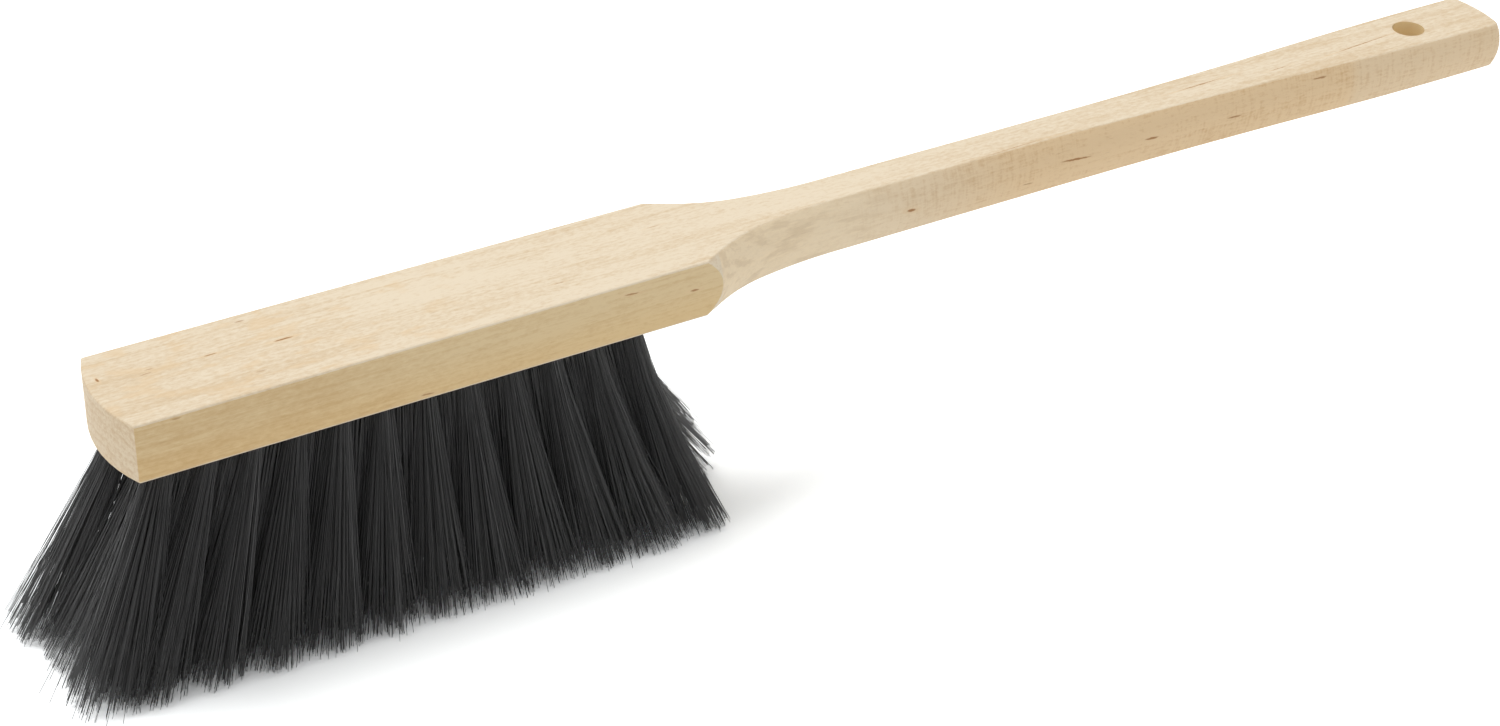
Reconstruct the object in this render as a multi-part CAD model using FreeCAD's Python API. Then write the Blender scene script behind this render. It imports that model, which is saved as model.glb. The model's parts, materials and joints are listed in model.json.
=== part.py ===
import FreeCAD, Part
import math
import os

Vector = FreeCAD.Vector

# Wooden body: a straight block that runs into a long handle, all cut from one board
block_length = 176.0  # front corners to shoulder corners
block_width = 38.3
board_thickness = 18.0
front_bow = 4.0  # how far the front end bulges past its corners
handle_length = 300.0  # shoulder corners to the tip of the handle
neck_width = 17.9
neck_distance = 46.0  # shoulder corners to the slim neck
shoulder_angle = 29.5  # degrees that the side turns in at the shoulder corner
shoulder_run = 4.0  # straight part of the side behind the shoulder corner
easing_angle = 10.0  # degrees left where the tight shoulder arc eases off
neck_run = 78.0  # straight part of the neck
flare_run = 100.0  # hollow part of the sides behind the neck, which then swell out to the end
handle_end_width = 25.8
handle_end_thickness = 14.8
side_crown = 2.8  # how far the handle's sides bulge at half height
end_radius = 45.0  # gentle curve of the handle's end
end_corner_radius = 4.0
edge_softening = 0.6  # sanded edges
hanging_hole_diameter = 10.4
hanging_hole_inset = 32.0  # hole centre to the tip of the handle

# Pattern of the drilled holes, three rows with the middle one half a pitch off
tuft_pitch = 12.75
side_row_count = 12
row_spacing = 12.5
first_tuft_inset = 8.5  # front corners to the first hole of a side row
tuft_hole_diameter = 6.2
tuft_hole_depth = 11.0

# Bristle tufts, folded in their holes and fanning out to level trimmed tips
bristle_length = 64.0  # underside of the block to the tips
tuft_clearance = 0.1  # between the corners of a tuft and the wall of its hole
tuft_sides = 8  # flats round a tuft
flare_start = 1.5  # below the block, where a tuft starts to widen
tip_pitch = 17.2  # spacing of the tips along a row
tip_shift = 2.4  # how far the tips lie nearer the handle than their roots
tip_gap = 0.4  # between the tips of neighbours in a row
tip_spread = 18.2  # width of a tuft across the rows at its tips
front_flare = 6.5  # how far the side rows lean out at the front
back_flare = 10.5  # the same at the back
belly_height_share = 0.6  # where the bell of a tuft is fullest, of the bristle length above the tips
belly_growth_share = 0.72  # how much of its widening a tuft has there

# Anchor strips across the folds
anchor_thickness = 0.5
anchor_height = 2.0
anchor_bite = 0.8  # how far each end goes into the wood
fold_thickness = 1.5  # bristle between the strip and the bottom of the hole

# Cuts run this far past the faces that they cut
overrun = 10.0

underside = bristle_length
top = bristle_length + board_thickness
half_height = Vector(0, 0, board_thickness / 2)
y_axis = Vector(0, 1, 0)
handle_end = block_length + handle_length
end_slope = math.asin((handle_end_width / 2 - end_corner_radius) / (end_radius - end_corner_radius))


def flat_face(edges):
    """Face inside a closed set of edges."""
    return Part.Face(Part.Wire(Part.__sortEdges__(edges)))


def easing_arc(start, first_slope, last_slope, radius):
    """Arc of a flank by the angles at which it falls to the axis, hollow if the radius is positive."""

    def point(slope):
        run = radius * (math.sin(first_slope) - math.sin(slope))
        fall = radius * (math.cos(slope) - math.cos(first_slope))
        return Vector(start.x + run, start.y - fall, start.z)

    end = point(last_slope)
    middle = point((first_slope + last_slope) / 2)
    return Part.Arc(start, middle, end).toShape(), end


def shoulder_radii(steep, gentle):
    """Radii of two arcs in a row that lead from the shoulder to the neck."""
    fall = (block_width - neck_width) / 2 - shoulder_run * math.sin(steep)
    run = neck_distance - shoulder_run * math.cos(steep)
    run_tight = math.sin(steep) - math.sin(gentle)
    run_easy = math.sin(gentle)
    fall_tight = math.cos(gentle) - math.cos(steep)
    fall_easy = 1 - math.cos(gentle)
    scale = run_tight * fall_easy - run_easy * fall_tight
    tight = (run * fall_easy - run_easy * fall) / scale
    easy = (run_tight * fall - fall_tight * run) / scale
    return tight, easy


def swell_arcs(neck):
    """Hollow and full arc in a row that lead from the neck to the width at the handle's end."""
    end_depth = end_radius - (end_radius - end_corner_radius) * math.cos(end_slope)
    run = handle_end - end_depth - neck.x
    rise = (handle_end_width - neck_width) / 2
    slope = 2 * math.atan2(rise, run)
    hollow, turn = easing_arc(neck, 0, -slope, flare_run / math.sin(slope))
    full, end_corner = easing_arc(turn, -slope, 0, -(run - flare_run) / math.sin(slope))
    return hollow, full, end_corner


def end_arcs(start):
    """Corner of the handle's end and the gentle curve from there to the other corner."""
    centre = start - y_axis * end_corner_radius

    def direction(angle):
        return Vector(math.cos(angle), math.sin(angle), 0)

    meeting = centre + direction(end_slope) * end_corner_radius
    half_way = centre + direction((end_slope + math.pi / 2) / 2) * end_corner_radius
    corner = Part.Arc(start, half_way, meeting).toShape()
    end = Part.Arc(meeting, Vector(handle_end, 0, underside), mirrored(meeting)).toShape()
    return corner, end


def flank():
    """Edges of one side of the handle from outside the block to its end's corner, and the end."""
    steep = math.radians(shoulder_angle)
    gentle = math.radians(easing_angle)
    tight, easy = shoulder_radii(steep, gentle)
    corner = Vector(block_length, block_width / 2, underside)
    inward = Vector(math.cos(steep), -math.sin(steep), 0)
    bend = corner + inward * shoulder_run
    lead_in = Part.LineSegment(corner - inward * overrun, bend).toShape()
    shoulder, hand_over = easing_arc(bend, steep, gentle, tight)
    easing, neck = easing_arc(hand_over, gentle, 0, easy)
    neck_end = neck + Vector(neck_run, 0, 0)
    straight = Part.LineSegment(neck, neck_end).toShape()
    hollow, full, end_start = swell_arcs(neck_end)
    end_corner, end = end_arcs(end_start)
    return [lead_in, shoulder, easing, straight, hollow, full, end_corner], end


def mirrored(point):
    """The same point on the other side of the handle's axis."""
    return Vector(point.x, -point.y, point.z)


def arch_cutter(edge):
    """Cutter that follows one edge of the outline and leaves an arched side behind."""
    start = edge.valueAt(edge.FirstParameter) + half_height
    outward = Vector(0, 0, 1).cross(edge.tangentAt(edge.FirstParameter))
    half = board_thickness / 2
    radius = (half**2 + side_crown**2) / (2 * side_crown)
    reach = half + edge_softening
    inner = start - outward * (radius - math.sqrt(radius**2 - reach**2))
    outer = start + outward * block_width / 2
    up = Vector(0, 0, reach)
    arch = Part.Arc(inner - up, start, inner + up).toShape()
    corners = [inner + up, outer + up, outer - up, inner - up]
    profile = flat_face([arch, *Part.makePolygon(corners).Edges])
    if edge.Curve.TypeId == "Part::GeomLine":
        return profile.extrude(edge.valueAt(edge.LastParameter) + half_height - start)
    turn = math.degrees(edge.LastParameter - edge.FirstParameter)
    return profile.revolve(edge.Curve.Center, edge.Curve.Axis, turn)


def handle_board():
    """Board for the handle, which thins out to its end above and below alike."""
    start = Vector(block_length - overrun, -block_width / 2, underside)
    shoulder = Vector(block_length, start.y, underside)
    thinning = (board_thickness - handle_end_thickness) / 2
    stretch = 1 + overrun / handle_length
    tip = shoulder + Vector(handle_length, 0, thinning)
    end = shoulder + Vector(handle_length * stretch, 0, thinning * stretch**2)
    below = [Part.LineSegment(start, shoulder).toShape(), Part.Arc(shoulder, tip, end).toShape()]
    above = [edge.mirror(start + half_height, half_height) for edge in below]
    upright = half_height * 2
    front = Part.LineSegment(start, start + upright).toShape()
    back = Part.LineSegment(end, Vector(end.x, end.y, underside + top - end.z)).toShape()
    return flat_face(below + above + [front, back]).extrude(y_axis * block_width)


def handle():
    """Handle with arched sides, cut from its board."""
    edges, end = flank()
    cutters = [arch_cutter(edge) for edge in edges]
    cutters += [cutter.mirror(Vector(0, 0, 0), y_axis) for cutter in cutters]
    return handle_board().cut(cutters + [arch_cutter(end)])


def block_blank():
    """Straight block with its bowed front end, as far as the handle blank."""
    back = block_length - overrun
    half = block_width / 2
    front_left = Vector(0, -half, underside)
    back_left = Vector(back, -half, underside)
    bow = Part.Arc(mirrored(front_left), Vector(-front_bow, 0, underside), front_left)
    left = Part.LineSegment(front_left, back_left)
    seam = Part.LineSegment(back_left, mirrored(back_left))
    right = Part.LineSegment(mirrored(back_left), mirrored(front_left))
    outline = [curve.toShape() for curve in (bow, left, seam, right)]
    return flat_face(outline).extrude(Vector(0, 0, board_thickness))


def wooden_body():
    """Block and handle in one, with softened edges, before any hole is drilled."""
    body = block_blank().fuse(handle()).removeSplitter()
    crisp = []
    for edge in body.Edges:
        box = edge.BoundBox
        level = box.ZLength < side_crown and box.XLength > edge_softening
        if level or box.XMax < edge_softening:
            crisp.append(edge)
    return body.makeFillet(edge_softening, crisp)


def tuft_places():
    """Node name, root at the block's underside and tip of every tuft."""
    middle = first_tuft_inset + tuft_pitch * (side_row_count - 1) / 2
    rows = (
        ("left", -1, side_row_count),
        ("centre", 0, side_row_count - 1),
        ("right", 1, side_row_count),
    )
    for row, side, count in rows:
        for number in range(count):
            step = number - (count - 1) / 2
            back_share = number / (count - 1)
            flare = front_flare + (back_flare - front_flare) * back_share
            root = Vector(middle + step * tuft_pitch, side * row_spacing, underside)
            tip = Vector(middle + tip_shift + step * tip_pitch, side * (row_spacing + flare), 0)
            yield f"{row}_tuft_{number + 1:02d}", root, tip


def up_the_hole(root, tip):
    """Direction from the tips up into the hole."""
    return (root - tip).normalize()


def turned(direction):
    """Rotation from upright to the direction of a hole."""
    return FreeCAD.Rotation(Vector(0, 0, 1), direction)


def ring(centre, rotation, half_along, half_across):
    """Corners round a tuft, stretched across the rows."""
    radius = half_along / math.cos(math.pi / tuft_sides)
    stretch = half_across - half_along
    corners = []
    for number in range(tuft_sides):
        angle = (2 * number + 1) * math.pi / tuft_sides
        across = radius * math.sin(angle) + math.copysign(stretch, math.sin(angle))
        corner = Vector(radius * math.cos(angle), across, 0)
        corners.append(centre + rotation.multVec(corner))
    return corners


def flat_panel(corners):
    """Flat face with these corners."""
    return Part.Face(Part.makePolygon(corners + corners[:1]))


def solid_through(rings):
    """Solid with flat walls from ring to ring, closed at both ends."""
    panels = [flat_panel(rings[0]), flat_panel(rings[-1])]
    for upper, lower in zip(rings, rings[1:]):
        for number in range(tuft_sides):
            before = number - 1
            wall = [upper[before], upper[number], lower[number], lower[before]]
            panels.append(flat_panel(wall))
    shell = Part.makeShell(panels)
    shell.sewShape()
    return Part.makeSolid(shell)


def drilled_hole(root, tip):
    """Slanted blind hole for one tuft."""
    axis = up_the_hole(root, tip)
    depth = tuft_hole_depth + overrun
    return Part.makeCylinder(tuft_hole_diameter / 2, depth, root - axis * overrun, axis)


def anchor_strip(root, tip):
    """Flat strip across the fold of one tuft, seated in the wood at both ends."""
    axis = up_the_hole(root, tip)
    length = tuft_hole_diameter + 2 * anchor_bite
    corner = Vector(-anchor_thickness / 2, -length / 2, -anchor_height)
    strip = Part.makeBox(anchor_thickness, length, anchor_height, corner)
    deep_edge = root + axis * (tuft_hole_depth - fold_thickness)
    strip.Placement = FreeCAD.Placement(deep_edge, turned(axis))
    return strip


def bristle_tuft(root, tip, strip):
    """One tuft: straight in its hole, then a bell that widens to the level tips."""
    axis = up_the_hole(root, tip)
    rotation = turned(axis)
    reach = (root - tip).Length
    root_half = (tuft_hole_diameter / 2 - tuft_clearance) * math.cos(math.pi / tuft_sides)
    tip_half_along = (tip_pitch * math.sqrt(1 - axis.x**2) - tip_gap) / 2
    tip_half_across = tip_spread / 2

    def corners(distance, share):
        along = root_half + (tip_half_along - root_half) * share
        across = root_half + (tip_half_across - root_half) * share
        return ring(tip + axis * distance, rotation, along, across)

    belly = reach * belly_height_share
    past_share = 1 + (1 - belly_growth_share) * overrun / belly
    rings = [
        corners(reach + tuft_hole_depth, 0),
        corners(reach - flare_start, 0),
        corners(belly, belly_growth_share),
        corners(-overrun, past_share),
    ]
    corner = Vector(tip.x - tip_spread, tip.y - tip_spread, -2 * overrun)
    below = Part.makeBox(2 * tip_spread, 2 * tip_spread, 2 * overrun, corner)
    return solid_through(rings).cut([strip, below])


def broom():
    """Every node of the broom by name, with the level tips at height zero."""
    holes = []
    strips = []
    tufts = {}
    for name, root, tip in tuft_places():
        strip = anchor_strip(root, tip)
        holes.append(drilled_hole(root, tip))
        strips.append(strip)
        tufts[name] = bristle_tuft(root, tip, strip)
    hole_start = Vector(handle_end - hanging_hole_inset, 0, underside - overrun)
    hole_length = board_thickness + 2 * overrun
    hanging_hole = Part.makeCylinder(hanging_hole_diameter / 2, hole_length, hole_start)
    wood = wooden_body().cut(holes + strips + [hanging_hole])
    return {"handle_block": wood, "tuft_anchors": Part.makeCompound(strips), **tufts}


def write_parts():
    """Put the origin under the middle of the broom and write one file for each node."""
    nodes = broom()
    box = Part.makeCompound(list(nodes.values())).optimalBoundingBox(False)
    shift = Vector(-box.Center.x, -box.Center.y, -box.ZMin)
    os.makedirs("parts", exist_ok=True)
    for name, shape in nodes.items():
        shape.translate(shift)
        shape.exportStep(f"parts/{name}.step")


write_parts()
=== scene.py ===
"""Looks of a long-handled hand broom: birch body, bristle tufts, anchors and stage."""

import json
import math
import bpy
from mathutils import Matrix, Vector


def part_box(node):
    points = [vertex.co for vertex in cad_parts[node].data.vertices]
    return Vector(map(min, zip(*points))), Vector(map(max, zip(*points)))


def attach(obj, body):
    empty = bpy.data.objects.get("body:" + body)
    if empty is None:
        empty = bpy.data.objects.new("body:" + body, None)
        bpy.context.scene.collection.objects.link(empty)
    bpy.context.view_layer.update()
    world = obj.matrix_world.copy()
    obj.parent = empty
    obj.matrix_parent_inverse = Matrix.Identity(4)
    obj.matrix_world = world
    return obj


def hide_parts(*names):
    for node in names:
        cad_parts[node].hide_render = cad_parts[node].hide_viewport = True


bl_info = {
    "name": "Hand Broom Looks",
    "version": (1, 0, 0),
    "blender": (4, 5, 0),
    "location": "View3D > Sidebar > Broom",
    "description": "Dresses a packed hand broom in birch, loose bristles and a plain stage",
    "category": "Object",
}

from types import SimpleNamespace

import bpy
import numpy as np
from bpy.props import FloatProperty, FloatVectorProperty, IntProperty, PointerProperty
from mathutils import Matrix, Vector

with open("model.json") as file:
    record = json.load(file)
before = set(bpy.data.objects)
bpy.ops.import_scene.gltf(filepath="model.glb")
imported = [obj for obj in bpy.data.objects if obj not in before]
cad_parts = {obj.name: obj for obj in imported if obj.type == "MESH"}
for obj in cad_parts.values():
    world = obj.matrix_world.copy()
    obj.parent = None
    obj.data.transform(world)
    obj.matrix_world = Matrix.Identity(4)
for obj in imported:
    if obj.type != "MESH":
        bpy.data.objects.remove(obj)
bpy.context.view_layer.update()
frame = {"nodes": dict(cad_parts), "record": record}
body_low, body_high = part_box("handle_block")
hanging_hole = frame["record"]["mounts"][0]

# Millimetres in a metre: the shaders work in millimetres
MM = 1000

# Rows of tufts: first word of the nodes' names, side that the row leans to, number of tufts
ROWS = (("left", -1, 12), ("centre", 0, 11), ("right", 1, 12))
# How much further the first and the last tuft of a row fan out at their free ends, by side
END_FANS = {-1: (0.7, -0.5), 0: (1.0, 2.2), 1: (0.4, 1.1)}
# How much further a side row fans out sideways, and its last tuft
SIDE_FAN, LAST_SIDE_FAN = 1.1, 0.4
# Share of the sweep at the front of the near row, and how much it grows towards the back
NEAR_SWEEP, NEAR_SWEEP_GROWTH = 0.9, 0.3
# Share of the sweep by which the ends of the other rows part, and over how many tufts
PARTING, END_TUFTS = 0.45, 3
# How much later than a straight one a filament bends out, and how much more so at the back
LATE_BEND, LATE_BEND_GROWTH = 0.06, 0.24

# Stations along a filament from its start inside the hole to its tip
STATIONS = np.array([0, 0.057, 0.105, 0.3, 0.65, 1])
# Share of the free length by which filaments start inside the hole
ROOT_DEPTH = 0.06
# Spread of the tips to the front and to the back of a tuft
FRONT_SPREAD, BACK_SPREAD = 1.1, 0.88
# Spare length of a filament as a share of its tuft's, and the extra at the front of a row
SLACK, FRONT_SLACK = 0.045, 0.05
# Largest pull of a tip towards its clump, and how early towards the edge a fan is full
CLUMP_PULL, FAN_GAIN = 0.5, 1.2
# Scatter of all tips, scatter of stray ones and the most that a stray one gets, in half widths
TIP_SCATTER, STRAY_SCATTER, STRAY_LIMIT = 0.05, 0.4, 0.6
# Height of the lowest tips, and share and largest loss of filaments that are broken off
TIP_GAP, BROKEN_SHARE, BROKEN_LENGTH = 0.0002, 0.04, 0.01
# Place across the bundle that parts inner filaments from outer ones
INNER_LIMIT = 0.1
# Range of the inner filaments' bulge, share that it loses at a free edge, run that it takes
BULGE_RANGE, BULGE_LOSS, BULGE_RUN = (0.5, 1.4), 0.8, 0.05
# Bow in the middle of a filament and flick of its tip, in metres
BOW, FLICK = 0.0003, 0.0005
# Ranges of shade: outer filaments, the painted light that they get on one side of a tuft, and inner
# ones, kept lighter as painted light against the shade between the tufts
OUTER_SHADES, PAINTED_LIGHT_GAIN, INNER_SHADES_WITH_PAINTED_LIFT = (0.3, 0.42), (0.55, 1.1), (0.68, 0.78)
# How common bright filaments, which are painted glints, are among inner and outer ones, against
# their share
INNER_GLINT, OUTER_GLINT = 0.5, 2.5
# Sides of a filament's tube, and its thickness at the tip against the root's
TUBE_SIDES, TIP_TAPER = 3, 0.7
# Corners of a tuft's solid: least height of its deep end above the underside, most of its tips
DEEP_END, TIP_BAND = 0.009, 0.001

# Where the block's straight sides end along the broom, and how soft that edge is, in millimetres
BLOCK_END, BLOCK_END_SOFTNESS = -50.6, 0.6

# Pith flecks on the top: place along, place across, half length, half thickness, slope, depth.
# Places and halves are in millimetres.
TOP_FLECKS = (
    (-176.3, 1.3, 2.8, 0.36, 0.0, 0.95),
    (-196.4, 3.55, 1.8, 0.3, 0.0, 0.75),
    (-214.9, 3.0, 1.9, 0.26, 0.06, 0.55),
    (-227.2, 6.3, 0.4, 1.0, -0.3, 0.95),
    (57.8, -5.6, 12.5, 0.14, 0.028, 0.6),
    (132.8, 0.55, 8.3, 0.2, 0.036, 0.8),
    (162.2, -2.35, 3.6, 0.16, 0.05, 0.7),
    (197.2, -1.35, 11.5, 0.18, 0.088, 0.85),
    (-97.9, -9.0, 1.5, 0.2, 0.0, 0.5),
    (-59.9, 5.5, 2.2, 0.22, 0.0, 0.45),
)
# The same on the near side, with the place across read upwards
SIDE_FLECKS = (
    (-80.6, 78.6, 2.3, 0.3, -0.07, 0.8),
    (-60.3, 73.9, 1.4, 0.3, -0.04, 0.85),
    (-143.9, 65.6, 1.9, 0.32, -0.05, 0.7),
    (19.5, 72.5, 1.5, 0.5, -0.08, 0.95),
    (79.3, 73.75, 5.4, 0.34, -0.08, 0.95),
    (107.5, 73.65, 2.5, 0.38, -0.03, 0.95),
    (139.2, 73.3, 2.6, 0.3, -0.02, 0.8),
    (61.9, 69.7, 1.9, 0.24, -0.08, 0.55),
    (172.3, 78.7, 2.6, 0.3, -0.02, 0.8),
)


class Value:
    """A socket of a shader, which sums treat as a number."""

    def __init__(self, paint, socket):
        self.paint = paint
        self.socket = socket

    def __add__(self, other):
        return self.paint.sum("ADD", self, other)

    def __radd__(self, other):
        return self.paint.sum("ADD", other, self)

    def __sub__(self, other):
        return self.paint.sum("SUBTRACT", self, other)

    def __rsub__(self, other):
        return self.paint.sum("SUBTRACT", other, self)

    def __mul__(self, other):
        return self.paint.sum("MULTIPLY", self, other)

    def __truediv__(self, other):
        return self.paint.sum("DIVIDE", self, other)

    def __pow__(self, other):
        return self.paint.sum("POWER", self, other)

    def __abs__(self):
        return self.paint.sum("ABSOLUTE", self)


class Paint:
    """The nodes of one material or world."""

    def __init__(self, owner):
        self.owner = owner
        owner.use_nodes = True
        self.tree = owner.node_tree
        self.tree.nodes.clear()

    def node(self, kind, settings=None, inputs=None, output=0):
        """Add a node, set it up, fill its sockets and hand back one output."""
        made = self.tree.nodes.new(kind)
        for name, setting in (settings or {}).items():
            setattr(made, name, setting)
        for name, given in (inputs or {}).items():
            socket = made.inputs[name]
            if isinstance(given, Value):
                self.tree.links.new(given.socket, socket)
            elif socket.type == "RGBA" and len(given) == 3:
                socket.default_value = (*given, 1)
            else:
                socket.default_value = given
        return Value(self, made.outputs[output]) if len(made.outputs) else made

    def sum(self, operation, *values):
        return self.node("ShaderNodeMath", {"operation": operation}, dict(enumerate(values)))

    def millimetres(self):
        """Place on the piece in millimetres."""
        source = self.node("ShaderNodeTexCoord", None, None, "Object")
        return self.vector("MULTIPLY", source, (MM, MM, MM))

    def ray(self, kind):
        """1 for rays of one kind, such as Camera."""
        return self.node("ShaderNodeLightPath", None, None, f"Is {kind} Ray")

    def larger(self, first, second):
        return self.sum("MAXIMUM", first, second)

    def vector(self, operation, *values):
        settings = {"operation": operation}
        return self.node("ShaderNodeVectorMath", settings, dict(enumerate(values)))

    def split(self, vector):
        inputs = {"Vector": vector}
        return [self.node("ShaderNodeSeparateXYZ", None, inputs, axis) for axis in range(3)]

    def rise(self, value, low, high):
        """Smooth step from 0 at low to 1 at high."""
        settings = {"interpolation_type": "SMOOTHSTEP"}
        inputs = {"Value": value, "From Min": low, "From Max": high}
        return self.node("ShaderNodeMapRange", settings, inputs)

    def noise(self, place, grain, detail=2.0, roughness=0.5):
        """Noise from 0 to 1 whose lumps are about as large as grain, in millimetres."""
        at = self.vector("DIVIDE", place, grain)
        inputs = {"Vector": at, "Scale": 1.0, "Detail": detail, "Roughness": roughness}
        return self.node("ShaderNodeTexNoise", None, inputs)

    def blend(self, share, first, second, mode="MIX"):
        settings = {"data_type": "RGBA", "blend_type": mode}
        return self.node("ShaderNodeMix", settings, {0: share, 6: first, 7: second}, 2)

    def bump(self, height, strength, depth):
        inputs = {"Height": height, "Strength": strength, "Distance": depth}
        return self.node("ShaderNodeBump", None, inputs)

    def surface(self, **inputs):
        """Finish with one Principled shader whose inputs are named by their words."""
        named = {name.replace("_", " "): given for name, given in inputs.items()}
        return self.close(self.node("ShaderNodeBsdfPrincipled", None, named))

    def close(self, shader, kind="ShaderNodeOutputMaterial"):
        """Put a shader out and hand back the material or world."""
        self.node(kind, None, {"Surface": shader})
        return self.owner


def new_paint(name):
    """Paint of a new material."""
    return Paint(bpy.data.materials.new(name))


def colour_property(name, description, default):
    """Colour that a user may change."""
    return FloatVectorProperty(
        name=name, description=description, default=default, subtype="COLOR", size=3, min=0, max=1
    )


def length_property(name, description, default):
    """Length in metres that a user may change."""
    return FloatProperty(name=name, description=description, default=default, unit="LENGTH", min=0)


def share_property(name, description, default):
    """Share from 0 to 1 that a user may change."""
    return FloatProperty(
        name=name, description=description, default=default, subtype="FACTOR", min=0, max=1
    )


def factor_property(name, description, default):
    """Factor from 0 up that a user may change."""
    return FloatProperty(name=name, description=description, default=default, min=0)


def angle_property(name, description, degrees):
    """Angle that a user may change, given in degrees."""
    angle = math.radians(degrees)
    return FloatProperty(name=name, description=description, default=angle, subtype="ANGLE")


def place_property(name, description, default):
    """Place in metres that a user may change."""
    return FloatVectorProperty(name=name, description=description, default=default, unit="LENGTH")


def count_property(name, description, default):
    """Number of things that a user may change."""
    return IntProperty(name=name, description=description, default=default, min=1)


class BroomWoodLook(bpy.types.PropertyGroup):
    """Tones of the birch body."""

    pale: colour_property("Pale wood", "Early wood along the grain", (0.87, 0.745, 0.56))
    warm: colour_property("Warm wood", "Late wood and darker streaks", (0.74, 0.575, 0.375))
    side: colour_property("Sawn side", "Tint of the block's sawn sides", (0.94, 0.86, 0.67))
    side_low: colour_property("Low side", "The same at their lower edge", (0.96, 0.83, 0.58))
    shoulder: colour_property("Shoulder", "Fresh-cut shoulders and neck", (0.98, 0.8, 0.545))
    grip: colour_property("Handle side", "Tint of the handle's milled sides", (1.0, 0.87, 0.7))
    # Colour of warm spots and fleck halos, also used for the painted contact shadow along the
    # block's lower edge
    warm_spot_and_shadow: colour_property("Warm spot", "Warm spots and halos of flecks", (0.84, 0.62, 0.37))
    end: colour_property("End grain", "Tint of the two ends", (1.0, 0.97, 0.93))
    fleck: colour_property("Pith fleck", "Short brown flecks and pores", (0.4, 0.19, 0.065))
    # Colour of the hole's wall; half of it is used as painted shade deeper in the hole and on the
    # wall towards the front
    bore: colour_property("Bore", "Scorched wall of the hanging hole", (1.0, 0.79, 0.46))
    ring_spacing: length_property("Ring spacing", "Distance between growth rings", 0.0027)
    ripple_spacing: length_property("Ripple spacing", "Width of the handle's cutter marks", 0.001)


class BroomBristleLook(bpy.types.PropertyGroup):
    """Filaments of the tufts."""

    count: count_property("Filaments", "Filaments in one tuft", 560)
    clumps: count_property("Clumps", "Clumps that the tips of one tuft gather in", 170)
    stray_share: share_property("Strays", "Share of stray filaments", 0.03)
    # Bright filaments are painted glints
    glint_share: share_property("Bright ones", "Share of light grey filaments", 0.02)
    square_share: share_property("Squareness", "How square a tuft's tips spread out", 0.75)
    thickness: length_property("Thickness", "Thickness of a filament at its root", 0.00024)
    root_radius: length_property("Bundle radius", "Radius of a tuft at its hole", 0.0030)
    bulge: length_property("Bulge", "How far a tuft widens just below its hole", 0.0036)
    tip_along: length_property("Spread along", "Half width of the tips along a row", 0.0098)
    tip_across: length_property("Spread across", "Half width of the tips across rows", 0.0092)
    inner_spread: factor_property("Inner spread", "How much wider the middle row spreads", 1.25)
    # Painted light: how much lighter the outer filaments are on one side of a tuft
    painted_ridge_light: share_property("Ridge", "How much lighter a tuft's outer filaments are", 0.23)
    fan_out: factor_property("Fan out", "Extra spread at the free edges", 0.3)
    sweep: length_property("Sweep", "How far the near row's tips are swept to the front", 0.009)
    lean: length_property("Lean", "How far the near row's tips are pressed outwards", 0.0025)
    ragged: length_property("Raggedness", "How unevenly the tips are trimmed", 0.0005)
    dark: colour_property("Dark filament", "Darkest filaments", (0.062, 0.062, 0.0622))
    light: colour_property("Light filament", "Lightest filaments", (0.19, 0.19, 0.191))
    seed: IntProperty(name="Seed", description="Seed of the filaments' places", default=11)


class BroomStageLook(bpy.types.PropertyGroup):
    """Floor, light and camera."""

    floor_size: length_property("Floor size", "Width of the floor", 8.0)
    sky: factor_property("Sky", "Even light from all round", 0.6)
    key: factor_property("Key light", "Strength of the soft lamp", 1.36)
    key_from: FloatVectorProperty(
        name="Key from",
        description="Direction to the lamp",
        default=(-0.12, 0.33, 0.93),
        subtype="DIRECTION",
    )
    key_softness: angle_property("Key softness", "Angle that the lamp fills", 26)
    lens: FloatProperty(
        name="Lens", description="Focal length of the camera", default=75.954, unit="CAMERA"
    )
    camera_place: place_property(
        "Camera place", "Place of the camera", (-0.44425, -0.67874, 0.53642)
    )
    camera_aim: place_property("Camera aim", "Point in the picture's middle", (-0.0299, 0, 0.02942))
    camera_roll: angle_property("Camera roll", "Turn about the view", 1.154)


def fleck_masks(paint, along, across, flecks):
    """Slim ovals along the grain, 1 at their middle, and the fainter halos round them."""
    core = halo = 0.0
    for place, height, half_length, half_thickness, slope, depth in flecks:
        run = along - place
        off = across - run * slope - height
        oval = (run / half_length) ** 2 + (off / half_thickness) ** 2
        core = paint.larger(paint.rise(oval, 1.5, 0.2) * depth, core)
        halo = paint.larger(paint.rise(oval, 7.0, 1.0) * depth, halo)
    return core, halo


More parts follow.
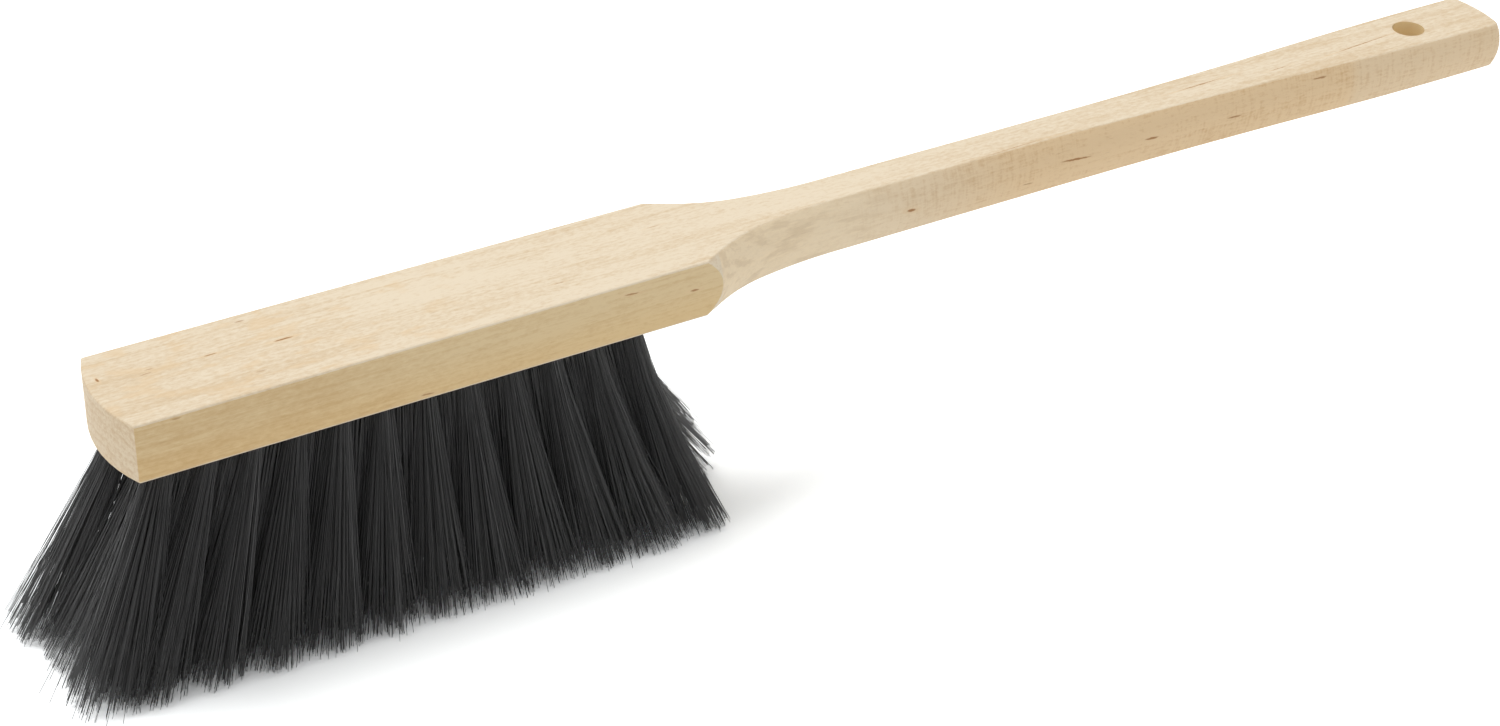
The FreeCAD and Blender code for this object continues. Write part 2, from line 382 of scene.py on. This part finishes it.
def birch_grain(paint, look, place):
    """Rings, fibres, speckles, pores and blotches that run through the whole body."""
    x, y, z = paint.split(place)
    grain = SimpleNamespace()

    # Growth rings about a pith below the board, which wander along it
    wander = paint.noise(place, (230, 34, 34), 2.0) - 0.5
    ripple = paint.noise(place, (60, 4, 4), 3.0) - 0.5
    across = y + 9 + wander * 7 + x * 0.018
    upward = z - 34 + wander * 5
    radius = paint.sum("SQRT", across**2 + upward**2)
    turn = paint.sum("FRACT", radius / (look.ring_spacing * MM) + ripple * 0.9)
    grain.late = paint.rise(turn, 0.35, 0.92) * paint.rise(turn, 1.0, 0.93)

    # Fibres that follow the rings
    swerve = {"X": x, "Y": y + wander * 9 + ripple * 1.6, "Z": z + wander * 6}
    along = paint.node("ShaderNodeCombineXYZ", None, swerve)
    grain.fibre = paint.noise(along, (48, 0.75, 0.75), 4.0, 0.6)
    grain.fine = paint.noise(along, (9, 0.24, 0.24), 2.0)
    grain.pore = paint.rise(paint.noise(along, (3.4, 0.2, 0.2), 1.0), 0.66, 0.8)
    grain.streak = paint.rise(paint.noise(along, (120, 2.2, 3.5), 2.0), 0.5, 0.75)
    grain.swirl = paint.rise(paint.noise(along, (16, 2.6, 3.2), 3.0, 0.6), 0.48, 0.64)

    # Uneven tone that doesn't follow them, and the cutter's marks
    grain.speckle = paint.noise(place, (2.2, 0.9, 0.9), 3.0, 0.65)
    grain.blotch = paint.noise(place, (42, 13, 13), 2.0)
    grain.cloud = paint.noise(place, (10, 4, 5), 3.0)
    grain.marks = paint.noise(place, (look.ripple_spacing * MM, 9, 9), 2.0) - 0.5
    return grain


def body_faces(paint, place):
    """Masks of the body's faces: sawn, fresh-cut and milled sides, ends, top and bore, and the
    bore's wall that gets painted shade.
    """
    x, y, _ = paint.split(place)
    nx, ny, nz = paint.split(paint.node("ShaderNodeTexCoord", None, None, "Normal"))
    block_edge = BLOCK_END - BLOCK_END_SOFTNESS
    faces = SimpleNamespace()
    faces.side = paint.rise(abs(ny), 0.5, 0.78)
    faces.near_side = paint.rise(ny, -0.3, -0.6)
    faces.upright = paint.rise(abs(nz), 0.12, 0.02)
    faces.block_side = faces.side * paint.rise(x, BLOCK_END, block_edge) * faces.upright
    faces.shoulder = faces.side * paint.rise(x, block_edge, BLOCK_END) * paint.rise(x, 40, -20)
    faces.handle_side = faces.side * paint.rise(x, -12, 70)
    faces.end = paint.rise(abs(nx), 0.6, 0.85)
    faces.top = paint.rise(nz, 0.6, 0.85)

    # The bore, and its wall towards the front, which gets painted shade
    to_axis = paint.sum("SQRT", (x - hanging_hole["pos_m"][0] * MM) ** 2 + y**2)
    faces.bore = paint.rise(to_axis, 5.45, 5.25) * paint.rise(abs(nz), 0.6, 0.3)
    faces.shaded = paint.rise(nx, 0.15, 0.85)
    return faces


def birch_flecks(paint, place, faces):
    """Larger pith flecks in their places with small ones scattered, and the larger ones' halos."""
    x, y, z = paint.split(place)
    jitter = (paint.noise(place, (1.4, 0.5, 0.5), 2.0) - 0.5) * 0.5
    top_core, top_halo = fleck_masks(paint, x, y + jitter, TOP_FLECKS)
    side_core, side_halo = fleck_masks(paint, x, z + jitter, SIDE_FLECKS)
    placed = paint.larger(top_core * faces.top, side_core * faces.near_side)
    halo = paint.larger(top_halo * faces.top, side_halo * faces.near_side)
    cells = {"Vector": paint.vector("DIVIDE", place, (30, 7, 7)), "Scale": 1.0}
    nearest = paint.node("ShaderNodeTexVoronoi", None, cells, "Distance")
    pick = paint.split(paint.node("ShaderNodeTexVoronoi", None, cells, "Color"))[0]
    scattered = paint.rise(nearest, 0.07, 0.03) * paint.rise(pick, 0.72, 0.76) * 0.6
    return paint.larger(placed, scattered * (1 - faces.end)), halo


def birch_warmth(paint, x, grain, faces, chatter):
    """How warm the wood is, from pale at 0 to warm at 1."""
    warmth = (grain.fibre - 0.5) * 1.25 + (grain.fine - 0.5) * 0.5 + (grain.blotch - 0.5) * 0.8
    warmth = warmth + grain.streak * 0.3 + (grain.cloud - 0.5) * 0.8
    warmth = warmth + (grain.speckle - 0.5) * (2.4 - faces.block_side * 0.9)
    warmth = warmth + grain.late * (0.34 - faces.side * 0.2) + chatter * 2.0 + 0.04

    # Zones along the broom: the front, the handle's top and its sides
    warmth = warmth + faces.block_side * paint.rise(x, -60, -220) * 0.3
    warmth = warmth + paint.rise(x, -130, -205) * 0.25 - faces.handle_side * 0.12
    return warmth + paint.rise(x, -20, 45) * (0.3 - faces.side * 0.3)


def birch_finish(look):
    """Sanded birch with its rings, flecks, sawn and milled sides, and a bore with painted shade."""
    paint = new_paint("sanded_birch")
    place = paint.millimetres()
    x, _, z = paint.split(place)
    top, bottom = body_high.z * MM, body_low.z * MM
    grain = birch_grain(paint, look, place)
    faces = body_faces(paint, place)
    fleck, halo = birch_flecks(paint, place, faces)
    milled_share = faces.side * paint.rise(x, -25, 5)
    chatter = grain.marks * milled_share * paint.rise(grain.blotch, 0.2, 0.6)

    # Bare wood
    warmth = birch_warmth(paint, x, grain, faces, chatter)
    colour = paint.blend(warmth, tuple(look.pale), tuple(look.warm))

    # Sides: sawn ones that darken downwards, with a painted contact shadow as a warm rim along
    # their lower edge, then the shoulders and the handle
    sawn = paint.blend(paint.rise(z, top - 4, bottom), tuple(look.side), tuple(look.side_low))
    colour = paint.blend(faces.block_side, colour, paint.blend(1.0, colour, sawn, "MULTIPLY"))
    # Painted contact shadow in patches along the lower edge of the upright faces
    painted_rim_shadow = paint.rise(z, bottom + 2.2, bottom) * paint.rise(grain.cloud, 0.35, 0.6) * faces.upright
    colour = paint.blend(painted_rim_shadow * 0.45, colour, tuple(look.warm_spot_and_shadow))
    fresh = faces.shoulder * (1.1 - grain.speckle * 0.7)
    colour = paint.blend(fresh, colour, tuple(look.shoulder))
    colour = paint.blend(faces.shoulder * grain.swirl * 0.5, colour, tuple(look.warm))
    milled = paint.blend(paint.rise(x, 183, 189) * 0.3, tuple(look.grip), (1, 1, 1))
    colour = paint.blend(faces.handle_side, colour, paint.blend(1.0, colour, milled, "MULTIPLY"))

    # Ends, pores, warm spots towards the front of the top, and flecks
    end_grain = paint.blend(1.0, colour, tuple(look.end), "MULTIPLY")
    colour = paint.blend(faces.end, colour, end_grain)
    colour = paint.blend(grain.pore * 0.22 * (1 - faces.end), colour, tuple(look.fleck))
    spots = paint.rise(grain.cloud, 0.5, 0.66) * paint.rise(x, -110, -150) * faces.top
    colour = paint.blend(spots * 0.4, colour, tuple(look.warm_spot_and_shadow))
    colour = paint.blend(halo * 0.5, colour, tuple(look.warm_spot_and_shadow))
    colour = paint.blend(fleck, colour, tuple(look.fleck))

    # Wall of the hanging hole with painted shade: darker downwards into the hole and on its wall
    # towards the front
    painted_bore_shade = paint.larger(paint.rise(z, top, bottom) * 0.45, faces.shaded * 0.9)
    bore_with_painted_shade = paint.blend(painted_bore_shade, tuple(look.bore), tuple(part * 0.5 for part in look.bore))
    colour = paint.blend(faces.bore, colour, bore_with_painted_shade)

    height = grain.fibre * 0.45 + grain.fine * 0.35 + grain.speckle * 0.3 + grain.late * 0.25
    height = height + chatter * 0.6 - grain.pore * 0.5 - fleck * 0.4
    return paint.surface(
        Base_Color=colour,
        Roughness=0.56 + grain.fibre * 0.12 + grain.late * 0.05 - fleck * 0.08,
        Normal=paint.bump(height, 0.5, 0.00012),
        Specular_IOR_Level=0.35,
    )


def bristle_finish(look):
    """Near-black filaments, each with its own shade, which carries painted light, a little lighter
    at the tips, and lighter at the roots as painted light against the shade under the block.
    """
    paint = new_paint("black_bristle")
    shade = paint.node("ShaderNodeAttribute", {"attribute_name": "shade"}, None, "Fac")
    reach = paint.node("ShaderNodeAttribute", {"attribute_name": "reach"}, None, "Fac")
    dust = paint.noise(paint.millimetres(), (0.5, 0.5, 4.0), 2.0)
    # Lighter towards the root: painted light against the shade under the block. The tips are made a
    # little lighter too.
    ends = paint.rise(reach, 0.55, 1.0) * 0.06 + paint.rise(reach, 0.4, 0.05) * 0.08
    share = shade**2 * 0.8 + ends + (dust - 0.5) * 0.25
    colour = paint.blend(share, tuple(look.dark), tuple(look.light))
    return paint.surface(Base_Color=colour, Roughness=0.45 + dust * 0.16, Specular_IOR_Level=0.28)


def anchor_finish():
    """Bright drawn steel strip."""
    paint = new_paint("drawn_steel")
    drawn = paint.noise(paint.millimetres(), (0.08, 3.0, 0.08), 3.0)
    colour = paint.blend(drawn, (0.42, 0.42, 0.43), (0.62, 0.62, 0.63))
    return paint.surface(Base_Color=colour, Metallic=1.0, Roughness=0.28 + drawn * 0.2)


def dress(node, material):
    """Give a frame node one material."""
    slots = frame["nodes"][node].data.materials
    slots.clear()
    slots.append(material)


def disc_places(rng, count):
    """Even places in a disc of radius 1."""
    turn = rng.uniform(0, 2 * math.pi, count)
    out = np.sqrt(rng.uniform(0, 1, count))
    return np.stack([out * np.cos(turn), out * np.sin(turn)], 1)


def gathered(rng, disc, clumps):
    """Pull each filament's place in the bundle towards the nearest of some clumps."""
    middles = disc_places(rng, clumps)
    nearest = np.argmin(np.linalg.norm(disc[:, None] - middles[None], axis=2), axis=1)
    return disc + (middles[nearest] - disc) * rng.uniform(0, CLUMP_PULL, (len(disc), 1)), nearest


def squared(disc, share):
    """Spread places in a disc towards the square round it."""
    reach = np.linalg.norm(disc, axis=1) / np.maximum(np.abs(disc).max(1), 1e-9)
    return disc * (1 + (reach - 1) * share)[:, None]


def tip_places(look, rng, disc):
    """Places of the tips in a square of half width 1, and the clump that each one is in."""
    placed, clump = gathered(rng, disc, look.clumps)
    placed = squared(placed, look.square_share) + rng.normal(0, TIP_SCATTER, disc.shape)
    stray = rng.uniform(0, 1, (len(disc), 1)) < look.stray_share
    thrown = np.clip(rng.normal(0, STRAY_SCATTER, disc.shape), -STRAY_LIMIT, STRAY_LIMIT)
    return placed + stray * thrown, clump


def tip_heights(look, rng, lowest, clump):
    """Heights of the tips, which are trimmed unevenly and a few of them broken off."""
    count = len(lowest)
    height = np.maximum(lowest, TIP_GAP) + np.abs(rng.normal(0, look.ragged, count))
    height = height + rng.uniform(0, look.ragged * 3, look.clumps)[clump]
    broken = rng.uniform(0, 1, count) < BROKEN_SHARE
    return height + broken * rng.uniform(0, BROKEN_LENGTH, count)


def filament_shades(look, rng, placed, inner):
    """Shades: outer filaments get painted light on one side of a tuft, the plain fill is lighter as
    painted light against the shade between tufts, and a few are painted glints.
    """
    count = len(placed)
    # Painted light: outer filaments towards the back half of a tuft are lighter
    painted_light_side = np.clip(0.6 + placed[:, 0], 0, 1)
    outer_shade = rng.uniform(*OUTER_SHADES, count)
    outer_shade = outer_shade + rng.uniform(*PAINTED_LIGHT_GAIN, count) * look.painted_ridge_light * painted_light_side
    # Inner filaments are lighter: painted light against the shade between the tufts
    inner_shade_with_painted_lift = rng.uniform(*INNER_SHADES_WITH_PAINTED_LIFT, count)
    # A few bright filaments, more often outer ones: painted glints
    chance = look.glint_share * np.where(inner, INNER_GLINT, OUTER_GLINT)
    bright = rng.uniform(0, 1, count) < chance
    return np.where(bright, 1.0, np.where(inner, inner_shade_with_painted_lift, outer_shade))


def filament_paths(look, rng, root, tip, side, free, late):
    """Stations of every filament of one tuft, with each one's shade.

    free says how much further the tuft fans out towards -x, +x, -y and +y, where no neighbour
    stops it, and late how much later than a straight one a filament bends out.
    """
    count = look.count
    disc = disc_places(rng, count)
    placed, clump = tip_places(look, rng, disc)
    outward = np.where(placed < 0, free[[0, 2]], free[[1, 3]])
    spread = np.array([look.tip_along, look.tip_across]) * (1 if side else look.inner_spread)
    offset = placed * spread * (1 + outward * np.minimum(FAN_GAIN * np.abs(placed), 1))
    offset[:, 0] *= np.where(placed[:, 0] < 0, FRONT_SPREAD, BACK_SPREAD)

    # A filament that leans further than its tuft ends higher, because it is no longer
    sideways = tip[:2] - root[:2] + offset
    length = np.linalg.norm(tip - root) * (1 + SLACK + FRONT_SLACK * (free[0] > 0))
    lowest = root[2] - np.sqrt(np.maximum(length**2 - (sideways**2).sum(1), 0))
    height = tip_heights(look, rng, lowest, clump)
    share = (1 + ROOT_DEPTH - height / root[2])[:, None] * STATIONS - ROOT_DEPTH
    below = np.clip(share, 0, 1)

    # Outer filaments run straight, inner ones bulge below the hole and fill the gaps
    inner = disc[:, 1] * side <= INNER_LIMIT
    start = disc * look.root_radius
    held = (1 - BULGE_LOSS * (outward != 0)) * inner[:, None]
    bulge = placed * look.bulge * rng.uniform(*BULGE_RANGE, (count, 1)) * held
    moved = (below ** (1 + late))[..., None]
    swollen = np.clip(share / BULGE_RUN, 0, 1)[..., None] * (1 - moved)
    across = start[:, None] + bulge[:, None] * swollen + (sideways - start)[:, None] * moved
    bow = rng.normal(0, BOW, (count, 1, 2)) * (4 * share * (1 - share))[..., None]
    flick = rng.normal(0, FLICK, (count, 1, 2)) * (below**4)[..., None]
    flat = root[:2] + across + bow + flick
    level = root[2] * (1 - share)
    paths = np.concatenate([flat, level[..., None]], 2)
    return paths, filament_shades(look, rng, placed, inner)


def filament_mesh(name, paths, shades, thickness):
    """Closed three-sided tubes along the paths, as one mesh."""
    count, stations, _ = paths.shape
    sides = TUBE_SIDES
    tangent = np.gradient(paths, axis=1)
    tangent /= np.linalg.norm(tangent, axis=2, keepdims=True)
    first = np.cross(tangent, (0.0, 1.0, 0.0))
    first /= np.linalg.norm(first, axis=2, keepdims=True)
    second = np.cross(tangent, first)
    taper = np.linspace(1, TIP_TAPER, stations) * thickness / 2
    angle = np.arange(sides) * 2 * math.pi / sides
    ring = np.cos(angle)[:, None] * first[:, :, None]
    ring = ring + np.sin(angle)[:, None] * second[:, :, None]
    points = paths[:, :, None] + ring * taper[:, None, None]
    index = np.arange(count * stations * sides).reshape(count, stations, sides)
    after = np.roll(index, -1, axis=2)
    walls = np.stack([index[:, :-1], after[:, :-1], after[:, 1:], index[:, 1:]], 3).reshape(-1, 4)
    caps = np.concatenate([index[:, 0, ::-1], index[:, -1]])
    mesh = bpy.data.meshes.new(name)
    mesh.from_pydata(points.reshape(-1, 3).tolist(), [], walls.tolist() + caps.tolist())
    mesh.polygons.foreach_set("use_smooth", [True] * len(walls) + [False] * len(caps))
    shade = np.repeat(shades, stations * sides)
    reach = np.tile(np.repeat(np.linspace(0, 1, stations), sides), count)
    for label, values in (("shade", shade), ("reach", reach)):
        attribute = mesh.attributes.new(label, "FLOAT", "POINT")
        attribute.data.foreach_set("value", values.astype(np.float32))
    return mesh


def tuft_ends(node):
    """Root at the block's underside and tip of a tuft, read from its node."""
    corners = np.array([v.co for v in frame["nodes"][node].data.vertices])
    top = corners[corners[:, 2] > body_low.z + DEEP_END]
    bottom = corners[corners[:, 2] < TIP_BAND]
    deep, tip = top.mean(0), bottom.mean(0)
    share = (body_low.z - tip[2]) / (deep[2] - tip[2])
    return tip + (deep - tip) * share, tip


def tuft_course(look, tip, side, number, count):
    """Middle of a tuft's tips, how much further it fans out each way, and how late it bends.

    The near row is swept to the front and pressed outwards. The ends of the others part a little.
    """
    first, last = number == 0, number == count - 1
    forward, backward = END_FANS[side][0] * first, END_FANS[side][1] * last
    sideways = LAST_SIDE_FAN if last else SIDE_FAN
    free = np.array([forward, backward, sideways * (side < 0), sideways * (side > 0)])
    if side < 0:
        swept = -(NEAR_SWEEP + NEAR_SWEEP_GROWTH * number / count) * (not first)
        pressed = -look.lean * min(number / END_TUFTS, 1)
    else:
        from_back = max(1 - (count - 1 - number) / END_TUFTS, 0)
        from_front = max(1 - number / END_TUFTS, 0)
        swept = PARTING * (from_back - from_front)
        pressed = 0
    late = LATE_BEND + LATE_BEND_GROWTH * (number / (count - 1)) ** 4
    return tip + np.array([look.sweep * swept, pressed, 0]), free * look.fan_out, late


class BROOM_OT_finish_wood(bpy.types.Operator):
    """Finish the wooden body in sanded birch"""

    bl_idname = "broom.finish_wood"
    bl_label = "Finish Wood"

    def execute(self, context):
        dress("handle_block", birch_finish(context.scene.broom_wood))
        return {"FINISHED"}


class BROOM_OT_finish_anchors(bpy.types.Operator):
    """Finish the steel anchors in the tuft holes"""

    bl_idname = "broom.finish_anchors"
    bl_label = "Finish Anchors"

    def execute(self, context):
        dress("tuft_anchors", anchor_finish())
        return {"FINISHED"}


class BROOM_OT_plant_tufts(bpy.types.Operator):
    """Replace every tuft by its loose filaments"""

    bl_idname = "broom.plant_tufts"
    bl_label = "Plant Tufts"

    def execute(self, context):
        look = context.scene.broom_bristle
        finish = bristle_finish(look)
        rng = np.random.default_rng(look.seed)
        for row, side, count in ROWS:
            for number in range(count):
                node = f"{row}_tuft_{number + 1:02d}"
                root, tip = tuft_ends(node)
                tip, free, late = tuft_course(look, tip, side, number, count)
                paths, shades = filament_paths(look, rng, root, tip, side, free, late)
                name = f"{row}_bristles_{number + 1:02d}"
                mesh = filament_mesh(name, paths, shades, look.thickness)
                mesh.materials.append(finish)
                piece = bpy.data.objects.new(mesh.name, mesh)
                context.scene.collection.objects.link(piece)
                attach(piece, "root")
                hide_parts(node)
        return {"FINISHED"}


def floor_finish():
    """White floor that keeps a soft shadow."""
    paint = new_paint("white_floor")
    viewed = paint.larger(paint.ray("Camera"), paint.ray("Glossy"))
    viewed = paint.larger(viewed, paint.ray("Transmission"))
    bare = paint.node("ShaderNodeBsdfDiffuse", None, {"Color": (0.85, 0.85, 0.85)})
    bright = paint.node("ShaderNodeBsdfDiffuse", None, {"Color": (1.52, 1.55, 1.56)})
    glow = paint.node("ShaderNodeEmission", None, {"Strength": 0.02})
    shown = paint.node("ShaderNodeAddShader", None, {0: bright, 1: glow})
    return paint.close(paint.node("ShaderNodeMixShader", None, {0: viewed, 1: bare, 2: shown}))


def studio_world(sky):
    """World that looks white and lights the scene evenly with the strength of the sky."""
    paint = Paint(bpy.data.worlds.new("studio"))
    viewed = paint.larger(paint.ray("Camera"), paint.ray("Transmission"))
    inputs = {"Color": (1, 1, 1), "Strength": viewed * (1 - sky) + sky}
    return paint.close(paint.node("ShaderNodeBackground", None, inputs), "ShaderNodeOutputWorld")


class BROOM_OT_set_stage(bpy.types.Operator):
    """Put down the floor and set up the light and the camera"""

    bl_idname = "broom.set_stage"
    bl_label = "Set Stage"

    def execute(self, context):
        scene = context.scene
        look = scene.broom_stage
        self.lay_floor(scene, look)
        self.light(scene, look)
        self.place_camera(scene, look)
        scene.view_settings.view_transform = "Standard"
        return {"FINISHED"}

    def lay_floor(self, scene, look):
        half = look.floor_size / 2
        corners = [(-half, -half, 0), (half, -half, 0), (half, half, 0), (-half, half, 0)]
        mesh = bpy.data.meshes.new("floor")
        mesh.from_pydata(corners, [], [(0, 1, 2, 3)])
        mesh.materials.append(floor_finish())
        floor = bpy.data.objects.new("floor", mesh)
        scene.collection.objects.link(floor)

    def light(self, scene, look):
        sun = bpy.data.lights.new("key", "SUN")
        sun.energy = look.key
        sun.angle = look.key_softness
        lamp = bpy.data.objects.new("key", sun)
        lamp.rotation_euler = Vector(look.key_from).to_track_quat("Z", "Y").to_euler()
        scene.collection.objects.link(lamp)
        scene.world = studio_world(look.sky)

    def place_camera(self, scene, look):
        data = bpy.data.cameras.new("camera")
        data.sensor_fit = "HORIZONTAL"
        data.sensor_width = 36
        data.lens = look.lens
        data.clip_end = 20
        camera = bpy.data.objects.new("camera", data)
        place = Vector(look.camera_place)
        turn = (Vector(look.camera_aim) - place).to_track_quat("-Z", "Y").to_matrix().to_4x4()
        roll = Matrix.Rotation(look.camera_roll, 4, "Z")
        camera.matrix_world = Matrix.Translation(place) @ turn @ roll
        scene.collection.objects.link(camera)
        scene.camera = camera


class BROOM_PT_looks(bpy.types.Panel):
    """Sidebar panel with the broom's steps and sizes"""

    bl_label = "Hand Broom"
    bl_idname = "BROOM_PT_looks"
    bl_space_type = "VIEW_3D"
    bl_region_type = "UI"
    bl_category = "Broom"

    def draw(self, context):
        for group, steps in PANEL_ROWS:
            box = self.layout.box()
            for step in steps:
                box.operator(step.bl_idname)
            look = getattr(context.scene, group)
            for name in look.__annotations__:
                box.prop(look, name)


PANEL_ROWS = (
    ("broom_wood", (BROOM_OT_finish_wood, BROOM_OT_finish_anchors)),
    ("broom_bristle", (BROOM_OT_plant_tufts,)),
    ("broom_stage", (BROOM_OT_set_stage,)),
)
LOOKS = (
    ("broom_wood", BroomWoodLook),
    ("broom_bristle", BroomBristleLook),
    ("broom_stage", BroomStageLook),
)
OPERATORS = (
    BROOM_OT_finish_wood,
    BROOM_OT_finish_anchors,
    BROOM_OT_plant_tufts,
    BROOM_OT_set_stage,
)


def register():
    for name, look in LOOKS:
        bpy.utils.register_class(look)
        setattr(bpy.types.Scene, name, PointerProperty(type=look))
    for operator in OPERATORS:
        bpy.utils.register_class(operator)
    bpy.utils.register_class(BROOM_PT_looks)


def unregister():
    bpy.utils.unregister_class(BROOM_PT_looks)
    for operator in reversed(OPERATORS):
        bpy.utils.unregister_class(operator)
    for name, look in reversed(LOOKS):
        delattr(bpy.types.Scene, name)
        bpy.utils.unregister_class(look)


def main():
    register()
    bpy.ops.broom.finish_wood()
    bpy.ops.broom.finish_anchors()
    bpy.ops.broom.plant_tufts()
    bpy.ops.broom.set_stage()


if __name__ == "__main__":
    main()
